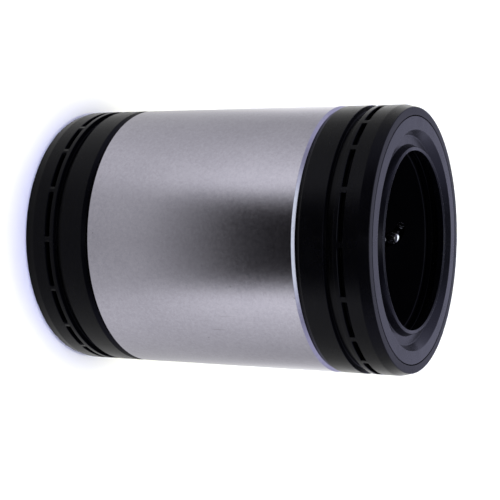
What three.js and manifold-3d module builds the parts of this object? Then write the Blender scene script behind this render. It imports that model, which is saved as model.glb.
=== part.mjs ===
// Linear ball bushing for a 60 mm shaft, closed type, with six recirculating ball circuits.
// Millimetres. +Z runs along the shaft axis, the origin is the centre of the bushing.
//
// A ground steel sleeve carries the load. A moulded end ring closes each end of it and holds
// the snap-ring groove and the wiper seal. A moulded cage inside the sleeve holds six hardened
// raceway plates and guides six endless ball circuits. Each circuit has a loaded row against
// the shaft, a return row further out and a half-round turn at each end.

import * as THREE from 'three';
import { mergeVertices } from 'three/addons/utils/BufferGeometryUtils.js';
import Module from 'manifold-3d';

// ---- main sizes -------------------------------------------------------------------------
const SHAFT_R = 30;              // shaft, and the circle inside the loaded balls
const OUTER_R = 45;              // housing bore size
const LENGTH = 125;
const SEGMENTS = 32;             // sides of the round parts
const GAP = 0.3;                 // clearance between separate pieces

// ---- sleeve -----------------------------------------------------------------------------
const SLEEVE_HALF = 38.0;
const SLEEVE_BORE_R = 41.3;
const SLEEVE_CHAMFER = 0.9;
const SLEEVE_RECESS_R = 43.0;    // counterbore for the end ring's spigot
const SLEEVE_RECESS_Z = 34.5;

// ---- end rings --------------------------------------------------------------------------
const END_Z = LENGTH / 2;
const RING_START_Z = SLEEVE_HALF + GAP;
const RING_FACE_R = 44.1;        // outer radius of the flat end face
const END_CHAMFER_Z = 3.5;       // length of the lead-in chamfer
const JOINT_CHAMFER_Z = 1.45;    // chamfer beside the sleeve
const JOINT_CHAMFER_R = 0.8;
const GROOVE_LOW_Z = END_Z - 14.8;   // snap-ring groove
const GROOVE_HIGH_Z = END_Z - 11.65;
const GROOVE_R = 43.25;
const SLOT_LOW_Z = END_Z - 10.1;     // row of narrow slots between ribs
const SLOT_HIGH_Z = END_Z - 8.3;
const SLOT_R = 42.4;
const RIB_WIDTH = 1.8;
const RING_BORE_R = 41.3;
const FLANGE_LOW_Z = 55.3;
const FLANGE_R = 32.0;
const SEAT_Z = 57.2;
const SEAT_R = 41.4;
const SPIGOT_R = SLEEVE_RECESS_R - GAP;
const SPIGOT_Z = SLEEVE_RECESS_Z + GAP;

// Rib positions round each end ring, in degrees from -Y towards +X.
const RIB_ANGLES = [-77.5, -56, -39.4, -19.6, 2.3, 24.3, 43.9, 60.2,
  80.6, 100.8, 121, 141.2, 161.4, 181.6, 201.8, 222, 242.2, 262.4];

// ---- wiper seals ------------------------------------------------------------------------
const SEAL_R = SEAT_R - GAP;
const LIP_R = 29.8;
const RECESS_OUTER_R = 36.7;
const RECESS_Z = END_Z - 3.0;
const SEAL_BACK_Z = SEAT_Z + GAP;

// ---- balls, circuits, cage and raceway plates ---------------------------------------------
const CIRCUITS = 6;
const BALL_R = 3.572;            // 9/32 inch ball
const PITCH = 7.7;               // ball to ball along the circuit
const STRAIGHT_BALLS = 10;
const TURN_BALLS = 3;
const TURN_R = TURN_BALLS * PITCH / Math.PI;
const TURN_Z = STRAIGHT_BALLS * PITCH / 2;   // centre of each turn
const LOADED_R = SHAFT_R + BALL_R;           // radius of the loaded row's centre line
const RETURN_R = 37.0;                       // radius of the return row's centre line
const CHANNEL_R = BALL_R + 0.43;
const NECK_R = 0.5;              // thin link that keeps a row of balls in one piece
const FIRST_CIRCUIT_DEG = -0.5;   // angle of the first loaded row, from -Y towards +X
const CAGE_BORE_R = 30.8;
const CAGE_R = 41.0;
const CAGE_HALF = 55.0;
const PLATE_BOTTOM = 36.2;       // distance from the bushing axis to a plate's lower lands
const RACEWAY_R = 3.8;           // radius of the groove that the balls run in
const PLATE_HALF_W = 5.5;
const PLATE_HALF_L = 37.0;
const POCKET_FLOOR = PLATE_BOTTOM - GAP;

// ---- materials ----------------------------------------------------------------------------
const steel = (c, r) => new THREE.MeshStandardMaterial({ color: c, roughness: r, metalness: 1 });
const plastic = (c, r) => new THREE.MeshStandardMaterial({ color: c, roughness: r, metalness: 0 });

// ---- solids -------------------------------------------------------------------------------
const wasm = await Module();
wasm.setup();

// Positions and triangles of a geometry, with shared vertices merged, no flat triangles and
// the faces pointing outwards.
function arrays(geometry) {
  const g = geometry.clone();
  for (const name of Object.keys(g.attributes)) if (name !== 'position') g.deleteAttribute(name);
  const m = mergeVertices(g, 1e-4);
  const pos = Array.from(m.attributes.position.array);
  const idx = m.index ? Array.from(m.index.array) : [...Array(pos.length / 3).keys()];
  const tri = [];
  let volume = 0;
  const p = (i) => new THREE.Vector3(pos[3 * i], pos[3 * i + 1], pos[3 * i + 2]);
  for (let i = 0; i < idx.length; i += 3) {
    const [a, b, c] = [idx[i], idx[i + 1], idx[i + 2]];
    if (a === b || b === c || a === c) continue;
    tri.push([a, b, c]);
    volume += p(a).dot(p(b).cross(p(c)));
  }
  if (volume < 0) for (const t of tri) t.reverse();
  return { pos, tri: tri.flat() };
}

function toManifold(geometry) {
  const { pos, tri } = arrays(geometry);
  return new wasm.Manifold(new wasm.Mesh({
    numProp: 3, vertProperties: new Float32Array(pos), triVerts: new Uint32Array(tri),
  }));
}

function toGeometry(source) {
  let pos, tri;
  if (source.isBufferGeometry) ({ pos, tri } = arrays(source));
  else {
    const m = source.getMesh();
    pos = Array.from(m.vertProperties);
    tri = Array.from(m.triVerts);
  }
  const g = new THREE.BufferGeometry();
  g.setAttribute('position', new THREE.Float32BufferAttribute(pos, 3));
  g.setIndex(tri);
  g.computeVertexNormals();
  return g;
}

// A ring about Z from a closed profile of [radius, z] points. Angle 0 is -Y, +90 is +X.
function ring(profile, segments = SEGMENTS) {
  const pts = [...profile, profile[0]].map(([r, z]) => new THREE.Vector2(r, z));
  return new THREE.LatheGeometry(pts, segments).rotateX(Math.PI / 2);
}

const rad = (deg) => deg * Math.PI / 180;
const polar = (r, deg) => [r * Math.sin(rad(deg)), -r * Math.cos(rad(deg))];

// A prism along Z between two heights, from a list of [x, y] points.
function prism(points, z0, z1) {
  const shape = new THREE.Shape(points.map(([x, y]) => new THREE.Vector2(x, y)));
  return new THREE.ExtrudeGeometry(shape, { depth: z1 - z0, bevelEnabled: false, steps: 1 })
    .translate(0, 0, z0);
}

const flipProfile = (profile) => profile.map(([r, z]) => [r, -z]).reverse();

// ---- the group ----------------------------------------------------------------------------
const bushing = new THREE.Group();

function add(name, solid, material, parent = bushing) {
  const mesh = new THREE.Mesh(toGeometry(solid), material);
  mesh.name = name;
  parent.add(mesh);
  return mesh;
}

// ---- outer sleeve: ground steel tube, chamfered, counterbored at both ends ------------------
const halfSleeve = [
  [SLEEVE_BORE_R, SLEEVE_RECESS_Z],
  [SLEEVE_RECESS_R, SLEEVE_RECESS_Z],
  [SLEEVE_RECESS_R, SLEEVE_HALF],
  [OUTER_R - SLEEVE_CHAMFER, SLEEVE_HALF],
  [OUTER_R, SLEEVE_HALF - SLEEVE_CHAMFER],
];
add('outer_sleeve', ring([...halfSleeve, ...flipProfile(halfSleeve)]), steel(0x96949f, 0.36));

// ---- end rings: snap-ring groove, slotted groove, spigot, inner flange and seal seat --------
const ringProfile = [
  [RING_BORE_R, SPIGOT_Z],
  [SPIGOT_R, SPIGOT_Z],
  [SPIGOT_R, RING_START_Z],
  [OUTER_R - JOINT_CHAMFER_R, RING_START_Z],
  [OUTER_R, RING_START_Z + JOINT_CHAMFER_Z],
  [OUTER_R, GROOVE_LOW_Z],
  [GROOVE_R, GROOVE_LOW_Z],
  [GROOVE_R, GROOVE_HIGH_Z],
  [OUTER_R, GROOVE_HIGH_Z],
  [OUTER_R, END_Z - END_CHAMFER_Z],
  [RING_FACE_R, END_Z],
  [SEAT_R, END_Z],
  [SEAT_R, SEAT_Z],
  [FLANGE_R, SEAT_Z],
  [FLANGE_R, FLANGE_LOW_Z],
  [RING_BORE_R, FLANGE_LOW_Z],
];

// The slots between the ribs, as one set of curved cutters.
function slotCutters() {
  let all = null;
  for (let i = 0; i < RIB_ANGLES.length; i++) {
    const half = RIB_WIDTH / 2 / OUTER_R * 180 / Math.PI;
    const from = RIB_ANGLES[i] + half;
    const to = (RIB_ANGLES[i + 1] ?? RIB_ANGLES[0] + 360) - half;
    const arc = [0, 1, 2].map((k) => polar(SLOT_R, from + (to - from) * k / 2));
    const points = [...arc, polar(OUTER_R + 2, to), polar(OUTER_R + 2, from)];
    const cutter = toManifold(prism(points, SLOT_LOW_Z, SLOT_HIGH_Z));
    all = all ? all.add(cutter) : cutter;
  }
  return all;
}

const upperRing = toManifold(ring(ringProfile)).subtract(slotCutters());
const black = plastic(0x1b1b1e, 0.42);
add('end_ring_upper', upperRing, black);
add('end_ring_lower', toManifold(toGeometry(upperRing).scale(1, 1, -1)), black);

// ---- wiper seals: flat outer land, a recess with sloping walls, and the lip level with the land --
const sealProfile = [
  [SEAL_R, SEAL_BACK_Z],
  [SEAL_R, END_Z],
  [RECESS_OUTER_R, END_Z],
  [RECESS_OUTER_R - 1.8, RECESS_Z],
  [LIP_R + 2.0, RECESS_Z],
  [LIP_R + 1.2, END_Z - 0.5],
  [LIP_R + 0.6, END_Z - 0.05],
  [LIP_R, END_Z - 0.5],
  [LIP_R, END_Z - 0.75],
  [LIP_R + 0.5, END_Z - 2.6],
  [31.8, SEAL_BACK_Z],
];
const rubber = plastic(0x222225, 0.5);
add('seal_upper', ring(sealProfile), rubber);
add('seal_lower', ring(flipProfile(sealProfile)), rubber);

// ---- ball circuits ------------------------------------------------------------------------
// Angle between the loaded row and the return row that makes the turns exactly half round.
const spread = Math.acos((LOADED_R ** 2 + RETURN_R ** 2 - (2 * TURN_R) ** 2)
  / (2 * LOADED_R * RETURN_R)) * 180 / Math.PI;

// Every circuit is drawn with its loaded row on the local +Y side and turned into place about
// Z. Both rows and both turns lie in one plane parallel to Z.
const A = new THREE.Vector2(0, LOADED_R);
const B = new THREE.Vector2(-RETURN_R * Math.sin(rad(spread)), RETURN_R * Math.cos(rad(spread)));
const along = B.clone().sub(A).normalize();            // from the loaded row to the return row
const outward = new THREE.Vector2(along.y, -along.x);  // normal of that plane, away from Z
const middle = A.clone().add(B).multiplyScalar(0.5);

// The channel's cross-section: round at the bottom, straight sides, open to the sleeve.
const CHANNEL_TOP = 9;
const bottom = [0, 1, 2, 3, 4, 5, 6].map((k) => {
  const t = Math.PI + Math.PI * k / 6;
  return [CHANNEL_R * Math.cos(t), CHANNEL_R * Math.sin(t)];
});
const uShape = [...bottom, [CHANNEL_R, CHANNEL_TOP], [-CHANNEL_R, CHANNEL_TOP]];

// Turns points given as [across, out] at a row's centre into [x, y].
const place = (centre, [u, v]) => [
  centre.x + along.x * u + outward.x * v, centre.y + along.y * u + outward.y * v];

function channelCutter() {
  const rows = [A, B].map((c) =>
    toManifold(prism(uShape.map((q) => place(c, q)), -TURN_Z, TURN_Z)));
  // A full ring about the turn axis, cut down to the half beyond the straight rows.
  const ringPoints = uShape.map(([u, v]) => new THREE.Vector2(TURN_R + u, v));
  const basis = new THREE.Matrix4().makeBasis(
    new THREE.Vector3(along.x, along.y, 0),
    new THREE.Vector3(outward.x, outward.y, 0),
    new THREE.Vector3(0, 0, -1));
  let cutter = rows[0].add(rows[1]);
  for (const side of [1, -1]) {
    const turn = new THREE.LatheGeometry([...ringPoints, ringPoints[0]], 16)
      .applyMatrix4(basis).translate(middle.x, middle.y, side * TURN_Z);
    const half = new THREE.BoxGeometry(60, 60, 30).translate(middle.x, middle.y, side * (TURN_Z + 15));
    cutter = cutter.add(toManifold(turn).intersect(toManifold(half)));
  }
  // The pocket that a raceway plate drops into.
  const pocket = prism([
    [-PLATE_HALF_W - GAP, POCKET_FLOOR], [PLATE_HALF_W + GAP, POCKET_FLOOR],
    [PLATE_HALF_W + GAP, 44], [-PLATE_HALF_W - GAP, 44],
  ], -PLATE_HALF_L - GAP, PLATE_HALF_L + GAP);
  return cutter.add(toManifold(pocket));
}

// ---- cage ---------------------------------------------------------------------------------
const circuitDeg = (k) => FIRST_CIRCUIT_DEG + 360 / CIRCUITS * k;
const channel = channelCutter();
let cage = toManifold(ring([
  [CAGE_BORE_R, -CAGE_HALF], [CAGE_R, -CAGE_HALF], [CAGE_R, CAGE_HALF], [CAGE_BORE_R, CAGE_HALF]]));
for (let k = 0; k < CIRCUITS; k++) cage = cage.subtract(channel.rotate([0, 0, 180 + circuitDeg(k)]));
add('ball_cage', cage, plastic(0x141416, 0.5));

// ---- raceway plates: grooved running face, round back against the sleeve -------------------
const plateTop = [1, 0.5, 0, -0.5, -1].map((t) =>
  [PLATE_HALF_W * t, Math.sqrt(CAGE_R ** 2 - (PLATE_HALF_W * t) ** 2)]);
const grooveEdge = Math.asin((PLATE_BOTTOM - LOADED_R) / RACEWAY_R);
const groove = [0, 1, 2, 3, 4, 5].map((k) => {
  const t = Math.PI - grooveEdge - (Math.PI - 2 * grooveEdge) * k / 5;
  return [RACEWAY_R * Math.cos(t), LOADED_R + RACEWAY_R * Math.sin(t)];
});
const plateShape = [
  [-PLATE_HALF_W, PLATE_BOTTOM], ...groove, [PLATE_HALF_W, PLATE_BOTTOM], ...plateTop];

// ---- rows of balls ------------------------------------------------------------------------
function straightRow() {
  const profile = [];
  for (let i = 0; i < STRAIGHT_BALLS; i++) {
    const z = (i - (STRAIGHT_BALLS - 1) / 2) * PITCH;
    const first = i === 0;
    const last = i === STRAIGHT_BALLS - 1;
    profile.push([first ? 0 : NECK_R, z - 3.5], [3.3, z - 1.367], [3.3, z + 1.367],
      [last ? 0 : NECK_R, z + 3.5]);
  }
  const points = profile.map(([r, z]) => new THREE.Vector2(r, z));
  return new THREE.LatheGeometry(points, 6).rotateX(Math.PI / 2);
}

function turnRow(side) {
  const spots = [];
  for (let i = 0; i < TURN_BALLS; i++) {
    const t = Math.PI * (i + 0.5) / TURN_BALLS;
    const u = -TURN_R * Math.cos(t);
    spots.push(new THREE.Vector3(middle.x + along.x * u, middle.y + along.y * u,
      side * (TURN_Z + TURN_R * Math.sin(t))));
  }
  let row = null;
  for (const s of spots) {
    const ball = toManifold(new THREE.SphereGeometry(BALL_R, 8, 4).translate(s.x, s.y, s.z));
    row = row ? row.add(ball) : ball;
  }
  for (let i = 0; i + 1 < spots.length; i++) {
    const step = spots[i + 1].clone().sub(spots[i]);
    const link = new THREE.CylinderGeometry(NECK_R, NECK_R, step.length(), 4)
      .applyQuaternion(new THREE.Quaternion().setFromUnitVectors(
        new THREE.Vector3(0, 1, 0), step.clone().normalize()));
    const c = spots[i].clone().add(spots[i + 1]).multiplyScalar(0.5);
    row = row.add(toManifold(link.translate(c.x, c.y, c.z)));
  }
  return row;
}

const raceway = steel(0xb9bcc4, 0.25);
const chrome = steel(0xd4d6da, 0.12);
const turnUpper = turnRow(1);
const turnLower = turnRow(-1);
for (let k = 0; k < CIRCUITS; k++) {
  const circuit = new THREE.Group();
  circuit.rotation.z = rad(180 + circuitDeg(k));
  bushing.add(circuit);
  const n = k + 1;
  add(`raceway_plate_${n}`, prism(plateShape, -PLATE_HALF_L, PLATE_HALF_L), raceway, circuit);
  add(`loaded_balls_${n}`, straightRow(), chrome, circuit).position.set(A.x, A.y, 0);
  add(`return_balls_${n}`, straightRow(), chrome, circuit).position.set(B.x, B.y, 0);
  add(`turn_balls_upper_${n}`, turnUpper, chrome, circuit);
  add(`turn_balls_lower_${n}`, turnLower, chrome, circuit);
}

export default bushing;
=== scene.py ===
import bpy, bmesh, math
import numpy as np
from mathutils import Vector, Matrix


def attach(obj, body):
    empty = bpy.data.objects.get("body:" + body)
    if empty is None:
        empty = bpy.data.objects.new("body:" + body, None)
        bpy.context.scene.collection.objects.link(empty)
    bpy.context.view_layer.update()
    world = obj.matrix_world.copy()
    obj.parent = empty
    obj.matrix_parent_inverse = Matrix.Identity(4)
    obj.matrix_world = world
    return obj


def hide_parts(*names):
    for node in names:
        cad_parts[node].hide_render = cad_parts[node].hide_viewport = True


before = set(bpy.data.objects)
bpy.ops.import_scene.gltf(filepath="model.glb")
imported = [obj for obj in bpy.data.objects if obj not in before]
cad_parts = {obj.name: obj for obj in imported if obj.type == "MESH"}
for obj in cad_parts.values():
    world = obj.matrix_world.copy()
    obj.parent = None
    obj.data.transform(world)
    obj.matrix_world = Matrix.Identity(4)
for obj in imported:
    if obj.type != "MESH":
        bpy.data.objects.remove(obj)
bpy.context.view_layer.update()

MM = 0.001
SKY_WALL, SKY_TOP, SOFTBOX = 0.72, 0.20, 1.6

# ------------------------------------------------------------------ sizes, as in the CAD model
OUTER_R = 45.0
END_Z = 62.5
SLEEVE_HALF = 38.0
RING_START = 38.3
SHAFT_R = 30.0
BALL_R = 3.572
PITCH = 7.7
NB, NT = 10, 3
TURN_R = NT * PITCH / math.pi
TURN_Z = NB * PITCH / 2
LOADED_R = SHAFT_R + BALL_R
RETURN_R = 37.0
CHANNEL_R = BALL_R + 0.18
FIRST_DEG = -0.5
RIBS = [-77.5, -56, -39.4, -19.6, 2.3, 24.3, 43.9, 60.2,
        80.6, 100.8, 121, 141.2, 161.4, 181.6, 201.8, 222, 242.2, 262.4]
BODY = "bushing_body"
TABLE_TURN = math.radians(3.5)

scene = bpy.context.scene


# ------------------------------------------------------------------ mesh helpers
def fillet(points, default=0.15, steps=4):
    """Rounds the corners of a closed [r, z] profile. A point may carry its own radius as a third number."""
    out = []
    n = len(points)
    for i in range(n):
        p = np.array(points[i][:2], float)
        a = np.array(points[i - 1][:2], float)
        b = np.array(points[(i + 1) % n][:2], float)
        rad = points[i][2] if len(points[i]) > 2 else default
        u, v = a - p, b - p
        lu, lv = np.linalg.norm(u), np.linalg.norm(v)
        if rad <= 0 or lu < 1e-6 or lv < 1e-6:
            out.append(tuple(p))
            continue
        u, v = u / lu, v / lv
        cosang = max(-1.0, min(1.0, float(u @ v)))
        ang = math.acos(cosang)
        if ang > math.radians(176):
            out.append(tuple(p))
            continue
        t = rad / math.tan(ang / 2)
        lim = 0.46 * min(lu, lv)
        if t > lim:
            t = lim
        rr = t * math.tan(ang / 2)
        c = p + (u + v) / np.linalg.norm(u + v) * (rr / math.sin(ang / 2))
        s, e = p + u * t, p + v * t
        a0 = math.atan2(*(s - c)[::-1])
        a1 = math.atan2(*(e - c)[::-1])
        d = (a1 - a0 + math.pi) % (2 * math.pi) - math.pi
        for k in range(steps + 1):
            q = a0 + d * k / steps
            out.append((c[0] + rr * math.cos(q), c[1] + rr * math.sin(q)))
    return out


def new_object(name, verts, faces):
    me = bpy.data.meshes.new(name)
    me.from_pydata([tuple(v) for v in verts], [], faces)
    me.validate()
    ob = bpy.data.objects.new(name, me)
    scene.collection.objects.link(ob)
    return ob


def face_outwards(ob):
    bm = bmesh.new()
    bm.from_mesh(ob.data)
    bmesh.ops.recalc_face_normals(bm, faces=bm.faces)
    bm.to_mesh(ob.data)
    bm.free()


def shade(ob, weighted=True, angle=50):
    for p in ob.data.polygons:
        p.use_smooth = True
    if weighted:
        ob.data.set_sharp_from_angle(angle=math.radians(angle))
        m = ob.modifiers.new("normals", "WEIGHTED_NORMAL")
        m.keep_sharp = True
        m.weight = 50
        with bpy.context.temp_override(object=ob, active_object=ob, selected_objects=[ob]):
            bpy.ops.object.modifier_apply(modifier=m.name)


def polar(r, deg, z):
    a = math.radians(deg)
    return (r * math.sin(a) * MM, -r * math.cos(a) * MM, z * MM)


def loft(name, angles, profile_at):
    """A closed ring about Z: one closed profile of [r, z] points at each angle, all with as many points."""
    verts, faces = [], []
    rows = [profile_at(i) for i in range(len(angles))]
    n, m = len(rows[0]), len(angles)
    for deg, row in zip(angles, rows):
        verts += [polar(r, deg, z) for r, z in row]
    for i in range(m):
        j = (i + 1) % m
        for k in range(n):
            l = (k + 1) % n
            faces.append((i * n + k, j * n + k, j * n + l, i * n + l))
    ob = new_object(name, verts, faces)
    face_outwards(ob)
    return ob


def lathe(name, profile, segments=192):
    return loft(name, [360 * i / segments for i in range(segments)], lambda i: profile)


def mirror_z(profile):
    return [(p[0], -p[1], *p[2:]) for p in profile][::-1]


# ------------------------------------------------------------------ materials
def nodes_of(name):
    m = bpy.data.materials.new(name)
    m.use_nodes = True
    nt = m.node_tree
    nt.nodes.clear()
    out = nt.nodes.new("ShaderNodeOutputMaterial")
    bsdf = nt.nodes.new("ShaderNodeBsdfPrincipled")
    nt.links.new(bsdf.outputs[0], out.inputs[0])
    return m, nt, bsdf


class Graph:
    """Small helpers to write a node tree as expressions."""
    def __init__(self, nt):
        self.nt = nt

    def link(self, value, socket):
        if isinstance(value, bpy.types.NodeSocket):
            self.nt.links.new(value, socket)
        else:
            socket.default_value = value

    def math(self, op, a, b=0.0, c=None, clamp=False):
        n = self.nt.nodes.new("ShaderNodeMath")
        n.operation = op
        n.use_clamp = clamp
        self.link(a, n.inputs[0])
        self.link(b, n.inputs[1])
        if c is not None:
            self.link(c, n.inputs[2])
        return n.outputs[0]

    def coords(self):
        t = self.nt.nodes.new("ShaderNodeTexCoord")
        return t.outputs["Object"]

    def split(self, v):
        s = self.nt.nodes.new("ShaderNodeSeparateXYZ")
        self.link(v, s.inputs[0])
        return s.outputs[0], s.outputs[1], s.outputs[2]

    def join(self, x, y, z):
        s = self.nt.nodes.new("ShaderNodeCombineXYZ")
        for v, i in zip((x, y, z), s.inputs):
            self.link(v, i)
        return s.outputs[0]

    def round_coords(self, around, along, across=0.0):
        """Coordinates that follow the circumference: distance round, height and radius, each scaled."""
        x, y, z = self.split(self.coords())
        ang = self.math("ARCTAN2", x, y)
        r = self.math("SQRT", self.math("ADD", self.math("MULTIPLY", x, x), self.math("MULTIPLY", y, y)))
        # a closed loop in texture space, so there is no seam
        u = self.math("MULTIPLY", self.math("COSINE", ang), around)
        v = self.math("MULTIPLY", self.math("SINE", ang), around)
        w = self.math("ADD", self.math("MULTIPLY", z, along), self.math("MULTIPLY", r, across))
        return self.join(u, v, w)

    def noise(self, vec, scale=1.0, detail=3.0, rough=0.5, lac=2.0):
        n = self.nt.nodes.new("ShaderNodeTexNoise")
        self.link(vec, n.inputs["Vector"])
        n.inputs["Scale"].default_value = scale
        n.inputs["Detail"].default_value = detail
        n.inputs["Roughness"].default_value = rough
        n.inputs["Lacunarity"].default_value = lac
        return n.outputs[0]

    def voronoi(self, vec, scale=1.0):
        n = self.nt.nodes.new("ShaderNodeTexVoronoi")
        self.link(vec, n.inputs["Vector"])
        n.inputs["Scale"].default_value = scale
        return n.outputs["Distance"]

    def ramp(self, fac, stops):
        n = self.nt.nodes.new("ShaderNodeValToRGB")
        e = n.color_ramp.elements
        while len(e) < len(stops):
            e.new(0.5)
        for el, (pos, col) in zip(e, stops):
            el.position = pos
            el.color = (*col, 1) if len(col) == 3 else col
        self.link(fac, n.inputs[0])
        return n.outputs[0]

    def remap(self, fac, a, b, lo=0.0, hi=1.0):
        n = self.nt.nodes.new("ShaderNodeMapRange")
        self.link(fac, n.inputs[0])
        n.inputs[1].default_value, n.inputs[2].default_value = lo, hi
        n.inputs[3].default_value, n.inputs[4].default_value = a, b
        n.clamp = True
        return n.outputs[0]

    def mix(self, fac, a, b):
        n = self.nt.nodes.new("ShaderNodeMix")
        n.data_type = "RGBA"
        self.link(fac, n.inputs[0])
        self.link((*a, 1) if isinstance(a, tuple) and len(a) == 3 else a, n.inputs[6])
        self.link((*b, 1) if isinstance(b, tuple) and len(b) == 3 else b, n.inputs[7])
        return n.outputs[2]

    def bump(self, height, strength, distance, normal=None):
        n = self.nt.nodes.new("ShaderNodeBump")
        self.link(height, n.inputs["Height"])
        n.inputs["Strength"].default_value = strength
        n.inputs["Distance"].default_value = distance
        if normal is not None:
            self.nt.links.new(normal, n.inputs["Normal"])
        return n.outputs[0]


def ground_steel():
    """Centreless-ground steel: a fine all-over mark, a soft mottle, an uneven film of oil and a few handling marks."""
    m, nt, b = nodes_of("ground_steel")
    g = Graph(nt)
    fine = g.noise(g.round_coords(2.6, 5200.0, 5200.0), 1.0, 2.0, 0.6)
    grit = g.noise(g.coords(), 2300.0, 2.0, 0.6)
    mottle = g.noise(g.coords(), 850.0, 3.0, 0.65)
    cloud = g.noise(g.coords(), 60.0, 4.0, 0.6)
    tone = g.math("ADD", g.math("MULTIPLY", cloud, 0.24), g.math("ADD", g.math("MULTIPLY", mottle, 0.42), g.math("MULTIPLY", grit, 0.34)))
    col = g.ramp(tone, [(0.34, (0.368, 0.356, 0.416)), (0.5, (0.424, 0.411, 0.476)), (0.66, (0.474, 0.462, 0.528))])
    # small dark marks, and a few short scratches along the sleeve
    dots = g.remap(g.voronoi(g.coords(), 210.0), 1.0, 0.0, 0.035, 0.075)
    rare = g.remap(g.noise(g.coords(), 95.0, 1.0, 0.5), 0.0, 1.0, 0.56, 0.62)
    dots = g.math("MULTIPLY", dots, rare)
    x, y, z = g.split(g.coords())
    slim = g.noise(g.join(g.math("MULTIPLY", x, 1500.0), g.math("MULTIPLY", y, 1500.0), g.math("MULTIPLY", z, 90.0)), 1.0, 1.0, 0.5)
    lines = g.math("MULTIPLY", g.remap(slim, 0.0, 1.0, 0.735, 0.80), g.remap(g.noise(g.coords(), 42.0, 1.0, 0.5), 0.0, 1.0, 0.55, 0.62))
    marks = g.math("ADD", g.math("MULTIPLY", dots, 0.55), g.math("MULTIPLY", lines, 0.35), clamp=True)
    col = g.mix(marks, col, (0.13, 0.125, 0.14))
    g.link(col, b.inputs["Base Color"])
    b.inputs["Metallic"].default_value = 1.0
    r = g.math("ADD", g.remap(cloud, 0.198, 0.214, 0.3, 0.7), g.remap(mottle, -0.018, 0.024, 0.3, 0.7))
    g.link(g.math("ADD", r, g.math("MULTIPLY", marks, 0.12)), b.inputs["Roughness"])
    n1 = g.bump(fine, 0.08, 0.000006)
    n2 = g.bump(grit, 0.10, 0.000006, n1)
    g.link(n2, b.inputs["Normal"])
    return m


def moulded(name, base, rough, spec=0.5, grain=1.0, tint=1.25, sheen=(0.86, 0.86, 1.0)):
    """Moulded black polymer: faint flow marks, fine mould texture, slightly uneven gloss."""
    m, nt, b = nodes_of(name)
    g = Graph(nt)
    flow = g.noise(g.round_coords(2.2, 160.0, 60.0), 1.0, 4.0, 0.55)
    grainy = g.noise(g.coords(), 2600.0, 3.0, 0.6)
    dust = g.noise(g.coords(), 190.0, 6.0, 0.7)
    col = g.mix(g.remap(flow, 0.0, 1.0, 0.3, 0.7), base, tuple(c * tint for c in base))
    lifted = g.mix(g.remap(dust, 0.0, 0.35, 0.60, 0.78), col, tuple(min(1, c * 1.9 + 0.0012) for c in base))
    g.link(lifted, b.inputs["Base Color"])
    r = g.math("ADD", g.remap(flow, rough - 0.03, rough + 0.05, 0.3, 0.7), g.remap(dust, -0.02, 0.08, 0.4, 0.8))
    g.link(r, b.inputs["Roughness"])
    b.inputs["Specular IOR Level"].default_value = spec
    b.inputs["Specular Tint"].default_value = (*sheen, 1.0)
    n1 = g.bump(grainy, 0.22 * grain, 0.00003)
    n2 = g.bump(flow, 0.10 * grain, 0.00012, n1)
    g.link(n2, b.inputs["Normal"])
    return m


def polished(name, base, rough):
    m, nt, b = nodes_of(name)
    g = Graph(nt)
    film = g.noise(g.coords(), 240.0, 4.0, 0.6)
    col = g.mix(g.remap(film, 0.0, 1.0, 0.35, 0.7), base, tuple(c * 0.86 for c in base))
    g.link(col, b.inputs["Base Color"])
    b.inputs["Metallic"].default_value = 1.0
    g.link(g.remap(film, rough, rough + 0.07, 0.35, 0.75), b.inputs["Roughness"])
    return m


STEEL = ground_steel()
RING_MAT = moulded("ring_polymer", (0.0011, 0.0011, 0.0015), 0.22, 0.095)
SEAL_MAT = moulded("seal_rubber", (0.0026, 0.0026, 0.0036), 0.24, 0.30, grain=0.6, sheen=(0.80, 0.80, 1.0))
CAGE_MAT = moulded("cage_polymer", (0.0014, 0.0014, 0.0016), 0.36, 0.12)
RACE_MAT = polished("raceway_steel", (0.56, 0.55, 0.56), 0.16)
BALL_MAT = polished("ball_steel", (0.80, 0.80, 0.82), 0.05)


def finish_piece(ob, mat, slot, body, *nodes):
    ob.data.materials.clear()
    ob.data.materials.append(mat)
    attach(ob, body)
    if nodes:
        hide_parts(*nodes)
    return ob


# ------------------------------------------------------------------ sleeve
sleeve_half = [
    (41.3, 34.5, 0.2), (43.0, 34.5, 0.2), (43.0, SLEEVE_HALF, 0.15),
    (44.1, SLEEVE_HALF, 0.10), (45.0, SLEEVE_HALF - 0.9, 0.12),
]
sleeve = lathe("ground_sleeve", fillet(sleeve_half + mirror_z(sleeve_half), steps=4), 256)
shade(sleeve)
finish_piece(sleeve, STEEL, "ground_steel", BODY, "outer_sleeve")


# ------------------------------------------------------------------ end rings
G0, G1, GR = END_Z - 14.8, END_Z - 11.65, 43.25
S0, S1, SR = END_Z - 10.1, END_Z - 8.3, 42.4


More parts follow.
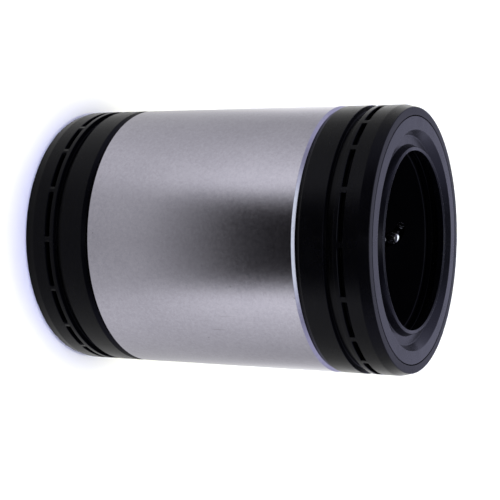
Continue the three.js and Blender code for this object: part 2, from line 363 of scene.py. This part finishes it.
def ring_profile(slot_r):
    """The end ring's section. slot_r is the depth of the slot at this angle, or the outer radius at a rib."""
    deep = slot_r < 44.5
    e = 0.14 if deep else 0.0
    slot = [(45.0, S0 - 0.14), (45.0 - 0.5 * e, S0 - 0.5 * e), (45.0 - e if deep else 45.0, S0 + (0.0 if deep else 0.05))]
    if deep:
        slot += [(slot_r + 0.25, S0), (slot_r + 0.07, S0 + 0.07), (slot_r, S0 + 0.25),
                 (slot_r, S1 - 0.25), (slot_r + 0.07, S1 - 0.07), (slot_r + 0.25, S1)]
    else:
        slot += [(45.0, S0 + 0.2), (45.0, S0 + 0.35), (45.0, S0 + 0.5),
                 (45.0, S1 - 0.5), (45.0, S1 - 0.35), (45.0, S1 - 0.2)]
    slot += [(45.0 - e if deep else 45.0, S1 - (0.0 if deep else 0.05)), (45.0 - 0.5 * e, S1 + 0.5 * e), (45.0, S1 + 0.14)]
    first = fillet([
        (41.3, 34.8, 0.2), (42.7, 34.8, 0.35), (42.7, RING_START, 0.12), (44.2, RING_START, 0.15),
        (45.0, RING_START + 1.45, 0.25), (45.0, G0, 0.14), (GR, G0, 0.2), (GR, G1, 0.2), (45.0, G1, 0.14),
        (45.0, G1 + 0.4, 0.0)], steps=3)
    second = fillet([
        (45.0, S1 + 0.3, 0.0), (45.0, END_Z - 3.5, 1.2), (44.1, END_Z, 0.35), (41.4, END_Z, 0.12), (41.4, 57.2, 0.2),
        (32.0, 57.2, 0.3), (32.0, 55.3, 0.3), (41.3, 55.3, 0.2), (41.3, 50.0, 0.0)], steps=3)
    # the first and last points of each half lie on straight walls, so they need no rounding
    return first + slot + second


def ring_angles():
    """Angles round the ring, with close pairs at each side wall of each rib."""
    half = math.degrees(0.9 / OUTER_R)
    step = 0.12
    out = []
    n = len(RIBS)
    for i in range(n):
        a = RIBS[i] + half
        b = (RIBS[i + 1] if i + 1 < n else RIBS[0] + 360) - half
        out += [(RIBS[i] - half - step, True), (RIBS[i] - half, False), (RIBS[i], False), (RIBS[i] + half, False), (a + step, True)]
        k = max(6, int((b - a) / 1.6))
        for j in range(1, k):
            out.append((a + step + (b - a - 2 * step) * j / k, True))
    return out


marks = ring_angles()
deep_profile, rib_profile = ring_profile(SR), ring_profile(45.0)
upper_ring = loft("end_ring_top", [a for a, _ in marks], lambda i: deep_profile if marks[i][1] else rib_profile)
shade(upper_ring, angle=40)
lower_ring = upper_ring.copy()
lower_ring.data = upper_ring.data.copy()
lower_ring.name = "end_ring_base"
scene.collection.objects.link(lower_ring)
lower_ring.data.transform(Matrix.Diagonal((1, 1, -1, 1)))
lower_ring.data.flip_normals()
shade(lower_ring, angle=40)
finish_piece(upper_ring, RING_MAT, "ring_polymer", BODY, "end_ring_upper")
finish_piece(lower_ring, RING_MAT, "ring_polymer", BODY, "end_ring_lower")


# ------------------------------------------------------------------ seals
seal_section = [
    (41.1, 57.5, 0.3), (41.1, END_Z, 0.18), (36.7, END_Z, 0.22), (34.9, END_Z - 3.0, 0.40),
    (31.8, END_Z - 3.0, 0.35), (31.0, END_Z - 0.5, 0.30), (30.4, END_Z - 0.05, 0.16),
    (29.8, END_Z - 0.5, 0.10), (29.8, END_Z - 0.75, 0.08), (30.3, END_Z - 2.6, 0.3), (31.8, 57.5, 0.3),
]
for name, node, prof in (("seal_top", "seal_upper", seal_section), ("seal_base", "seal_lower", mirror_z(seal_section))):
    s = lathe(name, fillet(prof, steps=6), 256)
    shade(s)
    finish_piece(s, SEAL_MAT, "seal_rubber", BODY, node)


# ------------------------------------------------------------------ circuits
spread = math.acos((LOADED_R ** 2 + RETURN_R ** 2 - (2 * TURN_R) ** 2) / (2 * LOADED_R * RETURN_R))
A = np.array([0.0, LOADED_R])
B = np.array([-RETURN_R * math.sin(spread), RETURN_R * math.cos(spread)])
along = (B - A) / np.linalg.norm(B - A)
outward = np.array([along[1], -along[0]])
middle = (A + B) / 2


def turned(k):
    return Matrix.Rotation(math.radians(180 + FIRST_DEG + 60 * k), 4, "Z")


def boolean(target, cutter):
    m = target.modifiers.new("cut", "BOOLEAN")
    m.operation = "DIFFERENCE"
    m.solver = "EXACT"
    m.object = cutter
    with bpy.context.temp_override(object=target, active_object=target, selected_objects=[target]):
        bpy.ops.object.modifier_apply(modifier=m.name)
    bpy.data.objects.remove(cutter)


def channel_mesh(k):
    """One oval channel as a closed solid: round at the bottom, straight sides, open outwards."""
    section = []
    for i in range(15):
        t = math.pi + math.pi * i / 14
        section.append((CHANNEL_R * math.cos(t), CHANNEL_R * math.sin(t)))
    section += [(CHANNEL_R, 8.7), (-CHANNEL_R, 8.7)]
    path = []          # (centre across, z, direction away from the circuit's middle: across, z)
    for i in range(9):
        path.append((-TURN_R, -TURN_Z + 2 * TURN_Z * i / 8, -1.0, 0.0))
    for i in range(1, 24):
        t = math.pi - math.pi * i / 24
        path.append((TURN_R * math.cos(t), TURN_Z + TURN_R * math.sin(t), math.cos(t), math.sin(t)))
    for i in range(9):
        path.append((TURN_R, TURN_Z - 2 * TURN_Z * i / 8, 1.0, 0.0))
    for i in range(1, 24):
        t = -math.pi * i / 24
        path.append((TURN_R * math.cos(t), -TURN_Z + TURN_R * math.sin(t), math.cos(t), math.sin(t)))
    verts, faces = [], []
    n, m = len(section), len(path)
    for c, z, du, dz in path:
        for s, h in section:
            u = c + du * s
            p = middle + along * u + outward * h
            r = np.linalg.norm(p)
            if abs(z + dz * s) > TURN_Z + 8.9 and r < 30.93:       # past the balls, the bore side is closed
                p = p * (30.93 / r)
            verts.append((p[0] * MM, p[1] * MM, (z + dz * s) * MM))
    for i in range(m):
        j = (i + 1) % m
        for q in range(n):
            w = (q + 1) % n
            faces.append((i * n + q, j * n + q, j * n + w, i * n + w))
    ob = new_object("cutter", verts, faces)
    ob.data.transform(turned(k))
    face_outwards(ob)
    return ob


def prism_mesh(points, z0, z1):
    n = len(points)
    verts = [(x * MM, y * MM, z0 * MM) for x, y in points] + [(x * MM, y * MM, z1 * MM) for x, y in points]
    faces = [tuple(range(n)), tuple(range(n, 2 * n))] + [(i, (i + 1) % n, n + (i + 1) % n, n + i) for i in range(n)]
    ob = new_object("prism", verts, faces)
    face_outwards(ob)
    return ob


cage = lathe("ball_cage_body", fillet([
    (30.8, -55.0, 0.5), (41.0, -55.0, 0.6), (41.0, 55.0, 0.6), (30.8, 55.0, 0.5)], steps=4), 192)
for k in range(6):
    boolean(cage, channel_mesh(k))
    pocket = prism_mesh([(-5.8, 35.9), (5.8, 35.9), (5.8, 44.0), (-5.8, 44.0)], -37.3, 37.3)
    pocket.data.transform(turned(k))
    boolean(cage, pocket)
shade(cage, angle=35)
finish_piece(cage, CAGE_MAT, "cage_polymer", BODY, "ball_cage")

edge = math.asin((36.2 - LOADED_R) / 3.8)
groove = [(3.8 * math.cos(math.pi - edge - (math.pi - 2 * edge) * i / 14),
           LOADED_R + 3.8 * math.sin(math.pi - edge - (math.pi - 2 * edge) * i / 14)) for i in range(15)]
top = [(5.5 * t, math.sqrt(41.0 ** 2 - (5.5 * t) ** 2)) for t in np.linspace(1, -1, 13)]
for k in range(6):
    plate = prism_mesh([(-5.5, 36.2)] + groove + [(5.5, 36.2)] + top, -37.0, 37.0)
    plate.name = f"raceway_insert_{k + 1}"
    plate.data.transform(turned(k))
    bev = plate.modifiers.new("edge", "BEVEL")
    bev.width, bev.segments, bev.limit_method, bev.angle_limit = 0.00018, 2, "ANGLE", math.radians(50)
    with bpy.context.temp_override(object=plate, active_object=plate, selected_objects=[plate]):
        bpy.ops.object.modifier_apply(modifier=bev.name)
    shade(plate, angle=35)
    finish_piece(plate, RACE_MAT, "raceway_steel", BODY, f"raceway_plate_{k + 1}")


def balls_mesh(name, centres, k):
    bm = bmesh.new()
    for c in centres:
        bmesh.ops.create_uvsphere(bm, u_segments=32, v_segments=20, radius=BALL_R * MM,
                                  matrix=Matrix.Translation(Vector(c) * MM))
    me = bpy.data.meshes.new(name)
    bm.to_mesh(me)
    bm.free()
    me.transform(turned(k))
    ob = bpy.data.objects.new(name, me)
    scene.collection.objects.link(ob)
    for p in me.polygons:
        p.use_smooth = True
    return ob


for k in range(6):
    n = k + 1
    zs = [(i - (NB - 1) / 2) * PITCH for i in range(NB)]
    turn = {}
    for side in (1, -1):
        turn[side] = []
        for i in range(NT):
            t = math.pi * (i + 0.5) / NT
            p = middle + along * (-TURN_R * math.cos(t))
            turn[side].append((p[0], p[1], side * (TURN_Z + TURN_R * math.sin(t))))
    finish_piece(balls_mesh(f"balls_loaded_{n}", [(A[0], A[1], z) for z in zs], k), BALL_MAT, "ball_steel",
                 f"loaded_row_{n}", f"loaded_balls_{n}")
    finish_piece(balls_mesh(f"balls_return_{n}", [(B[0], B[1], z) for z in zs], k), BALL_MAT, "ball_steel",
                 f"return_row_{n}", f"return_balls_{n}")
    finish_piece(balls_mesh(f"balls_turn_top_{n}", turn[1], k), BALL_MAT, "ball_steel",
                 f"turn_upper_{n}", f"turn_balls_upper_{n}")
    finish_piece(balls_mesh(f"balls_turn_base_{n}", turn[-1], k), BALL_MAT, "ball_steel",
                 f"turn_lower_{n}", f"turn_balls_lower_{n}")


# ------------------------------------------------------------------ floor and light
FLOOR_Z = -END_Z * MM


def plane(name, pts):
    return new_object(name, pts, [tuple(range(len(pts)))])


floor = plane("floor", [(-6, -6, FLOOR_Z), (6, -6, FLOOR_Z), (6, 6, FLOOR_Z), (-6, 6, FLOOR_Z)])
fm, fnt, fb = nodes_of("floor_paper")
fg = Graph(fnt)
paper = fg.noise(fg.coords(), 30.0, 3.0, 0.5)
fg.link(fg.mix(fg.remap(paper, 0.0, 1.0, 0.3, 0.7), (0.90, 0.90, 0.915), (0.92, 0.92, 0.93)), fb.inputs["Base Color"])
fb.inputs["Roughness"].default_value = 0.9
fb.inputs["Specular IOR Level"].default_value = 0.1
floor.data.materials.append(fm)

w = bpy.data.worlds.new("studio")
scene.world = w
w.use_nodes = True
bg = w.node_tree.nodes["Background"]
bg.inputs[0].default_value = (0.86, 0.90, 1.0, 1)
bg.inputs[1].default_value = 0.06

# the studio round the table: pale walls at the back and sides, dark behind the camera, a dim ceiling
# and one wide softbox overhead towards the front. It is seen directly and in reflections only.
dm = bmesh.new()
bmesh.ops.create_uvsphere(dm, u_segments=64, v_segments=32, radius=8.0)
dome_me = bpy.data.meshes.new("backdrop")
dm.to_mesh(dome_me)
dm.free()
dome = bpy.data.objects.new("backdrop", dome_me)
scene.collection.objects.link(dome)
dmat = bpy.data.materials.new("backdrop_paper")
dmat.use_nodes = True
dnt = dmat.node_tree
dnt.nodes.clear()
dout = dnt.nodes.new("ShaderNodeOutputMaterial")
dem = dnt.nodes.new("ShaderNodeEmission")
dnt.links.new(dem.outputs[0], dout.inputs[0])
wg = Graph(dnt)
px, py, pz = wg.split(wg.coords())
sx, sy, sz = (wg.math("DIVIDE", p, 8.0) for p in (px, py, pz))
zc = wg.math("MAXIMUM", sz, 0.02)
u, v = wg.math("DIVIDE", sx, zc), wg.math("DIVIDE", sy, zc)
flat = wg.math("SQRT", wg.math("MAXIMUM", wg.math("ADD", wg.math("MULTIPLY", sx, sx), wg.math("MULTIPLY", sy, sy)), 0.0001))
frontness = wg.math("DIVIDE", wg.math("MULTIPLY", sy, -1.0), flat)
wall = wg.remap(sz, SKY_WALL, SKY_TOP, 0.58, 0.82)
wall = wg.math("MULTIPLY", wall, wg.remap(frontness, 1.0, 0.06, 0.25, 0.72))
box_u = wg.remap(wg.math("ABSOLUTE", u), 1.0, 0.0, 0.45, 0.95)
box_v = wg.math("MULTIPLY", wg.remap(v, 0.0, 1.0, -0.78, -0.60), wg.remap(v, 1.0, 0.0, -0.12, 0.06))
box = wg.math("MULTIPLY", wg.math("MULTIPLY", box_u, box_v), wg.remap(sz, 0.0, 1.0, 0.30, 0.50))
wg.link(wg.math("ADD", wall, wg.math("MULTIPLY", box, SOFTBOX)), dem.inputs[1])
wg.link(wg.mix(box, (0.90, 0.90, 1.22), (0.88, 0.96, 1.0)), dem.inputs[0])
dome.data.materials.append(dmat)
for flag in ("visible_diffuse", "visible_shadow", "visible_volume_scatter"):
    setattr(dome, flag, False)


def card(name, pts, strength, color=(1, 1, 1)):
    """A lighting card: it is only seen in reflections."""
    ob = plane(name, pts)
    m = bpy.data.materials.new(name)
    m.use_nodes = True
    nt = m.node_tree
    nt.nodes.clear()
    out = nt.nodes.new("ShaderNodeOutputMaterial")
    em = nt.nodes.new("ShaderNodeEmission")
    em.inputs[0].default_value = (*color, 1)
    em.inputs[1].default_value = strength
    nt.links.new(em.outputs[0], out.inputs[0])
    ob.data.materials.append(m)
    for flag in ("visible_camera", "visible_diffuse", "visible_shadow", "visible_transmission", "visible_volume_scatter"):
        setattr(ob, flag, False)
    return ob, em, Graph(nt)


# the table as the steel sees it: bright at each side, dimmer behind, dark in front where the light stops
z = FLOOR_Z + 0.0004
table_card, em, tg = card("table_card", [(-3, -3, z), (3, -3, z), (3, 3, z), (-3, 3, z)], 1.0)
x, y, _ = tg.split(tg.coords())
x, y = (tg.math("ADD", tg.math("MULTIPLY", x, math.cos(TABLE_TURN)), tg.math("MULTIPLY", y, math.sin(TABLE_TURN))),
        tg.math("SUBTRACT", tg.math("MULTIPLY", y, math.cos(TABLE_TURN)), tg.math("MULTIPLY", x, math.sin(TABLE_TURN))))
dist = tg.math("SQRT", tg.math("ADD", tg.math("MULTIPLY", x, x), tg.math("MULTIPLY", y, y)))
turn_from_front = tg.math("DIVIDE", tg.math("ARCTAN2", tg.math("ABSOLUTE", x), tg.math("MULTIPLY", y, -1.0)), math.pi)


def grey(stops, scale):
    return [(deg / 180, (v / scale,) * 3) for deg, v in stops]


far_side = tg.ramp(turn_from_front, grey([
    (0, 0.010), (16, 0.012), (23, 0.04), (29, 0.17), (35, 0.50), (42, 1.10), (50, 1.24), (63, 1.02), (78, 0.82),
    (95, 0.66), (110, 0.60), (123, 0.68), (138, 1.00), (152, 1.32), (180, 1.38)], 1.4))
near_side = tg.ramp(turn_from_front, grey([
    (0, 0.58), (28, 0.66), (45, 0.86), (62, 0.86), (78, 0.76), (95, 0.68), (110, 0.66), (135, 0.80), (152, 1.10), (180, 1.20)], 1.4))
reach = tg.remap(dist, 0.0, 1.0, 0.118, 0.205)
tone = tg.mix(reach, near_side, far_side)
tone = tg.mix(tg.remap(dist, 1.0, 0.0, 0.040, 0.047), tone, (0.0, 0.0, 0.0))      # no light under the bushing
tg.link(tone, em.inputs[0])
em.inputs[1].default_value = 1.4

card("front_flag", [(-0.28, -0.85, FLOOR_Z), (0.28, -0.85, FLOOR_Z), (0.28, -0.85, 0.42), (-0.28, -0.85, 0.42)], 0.0)


def area(name, loc, target, size, power, color=(1, 1, 1), glossy=False):
    l = bpy.data.lights.new(name, "AREA")
    l.shape = "RECTANGLE"
    l.size, l.size_y = size
    l.energy = power
    l.color = color
    ob = bpy.data.objects.new(name, l)
    ob.location = loc
    ob.rotation_mode = "QUATERNION"
    ob.rotation_quaternion = (Vector(target) - Vector(loc)).to_track_quat("-Z", "Y")
    scene.collection.objects.link(ob)
    ob.visible_glossy = glossy
    return ob


# the warm lamp is almost straight overhead and the cool one in front, so the narrow shadow at the front
# of the foot is bluish
area("top_light", (0, 0.14, 3.0), (0, 0, 0), (0.46, 0.46), 54.0, (1.0, 0.97, 0.44))
area("front_light", (0, -1.2, 3.0), (0, 0, 0), (3.8, 2.0), 136.0, (0.66, 0.68, 1.0))
area("back_light", (0, 1.2, 3.0), (0, 0, 0), (3.8, 2.0), 52.0, (0.90, 0.92, 1.0))

# a short row of small lamps beside the lens makes the pin-point glints on the balls
for i in range(6):
    lx = (i - 2.5) * 0.028
    card(f"lamp_{i + 1}", [(lx - 0.003, -0.425, 0.225), (lx + 0.003, -0.425, 0.225),
                           (lx + 0.003, -0.4275, 0.2305), (lx - 0.003, -0.4275, 0.2305)], 320.0)

# ------------------------------------------------------------------ camera
D, H, PITCH_C, YAW, ROLL, F = 9.02917, 5.90143, 0.42335, 0.00987, 1.5929, 1291.82142
PPX, PPY = 300.0, 250.0
cp, sp, cy, sy = math.cos(PITCH_C), math.sin(PITCH_C), math.cos(YAW), math.sin(YAW)
fwd = Vector((sy * cp, cy * cp, -sp))
right = Vector((cy, -sy, 0))
up = right.cross(fwd)
ix = right * math.cos(ROLL) + up * math.sin(ROLL)
iy = right * math.sin(ROLL) - up * math.cos(ROLL)
cam_data = bpy.data.cameras.new("camera")
cam = bpy.data.objects.new("camera", cam_data)
scene.collection.objects.link(cam)
cam.matrix_world = Matrix((
    (ix.x, -iy.x, -fwd.x, 0), (ix.y, -iy.y, -fwd.y, -D * 0.045),
    (ix.z, -iy.z, -fwd.z, H * 0.045 + FLOOR_Z), (0, 0, 0, 1)))
cam_data.sensor_width = 36
cam_data.lens = F / 500 * 36
cam_data.shift_x = (250 - PPX) / 500
cam_data.shift_y = (PPY - 250) / 500
cam_data.clip_start, cam_data.clip_end = 0.01, 50
scene.camera = cam

scene.view_settings.view_transform = "Standard"
scene.view_settings.look = "None"
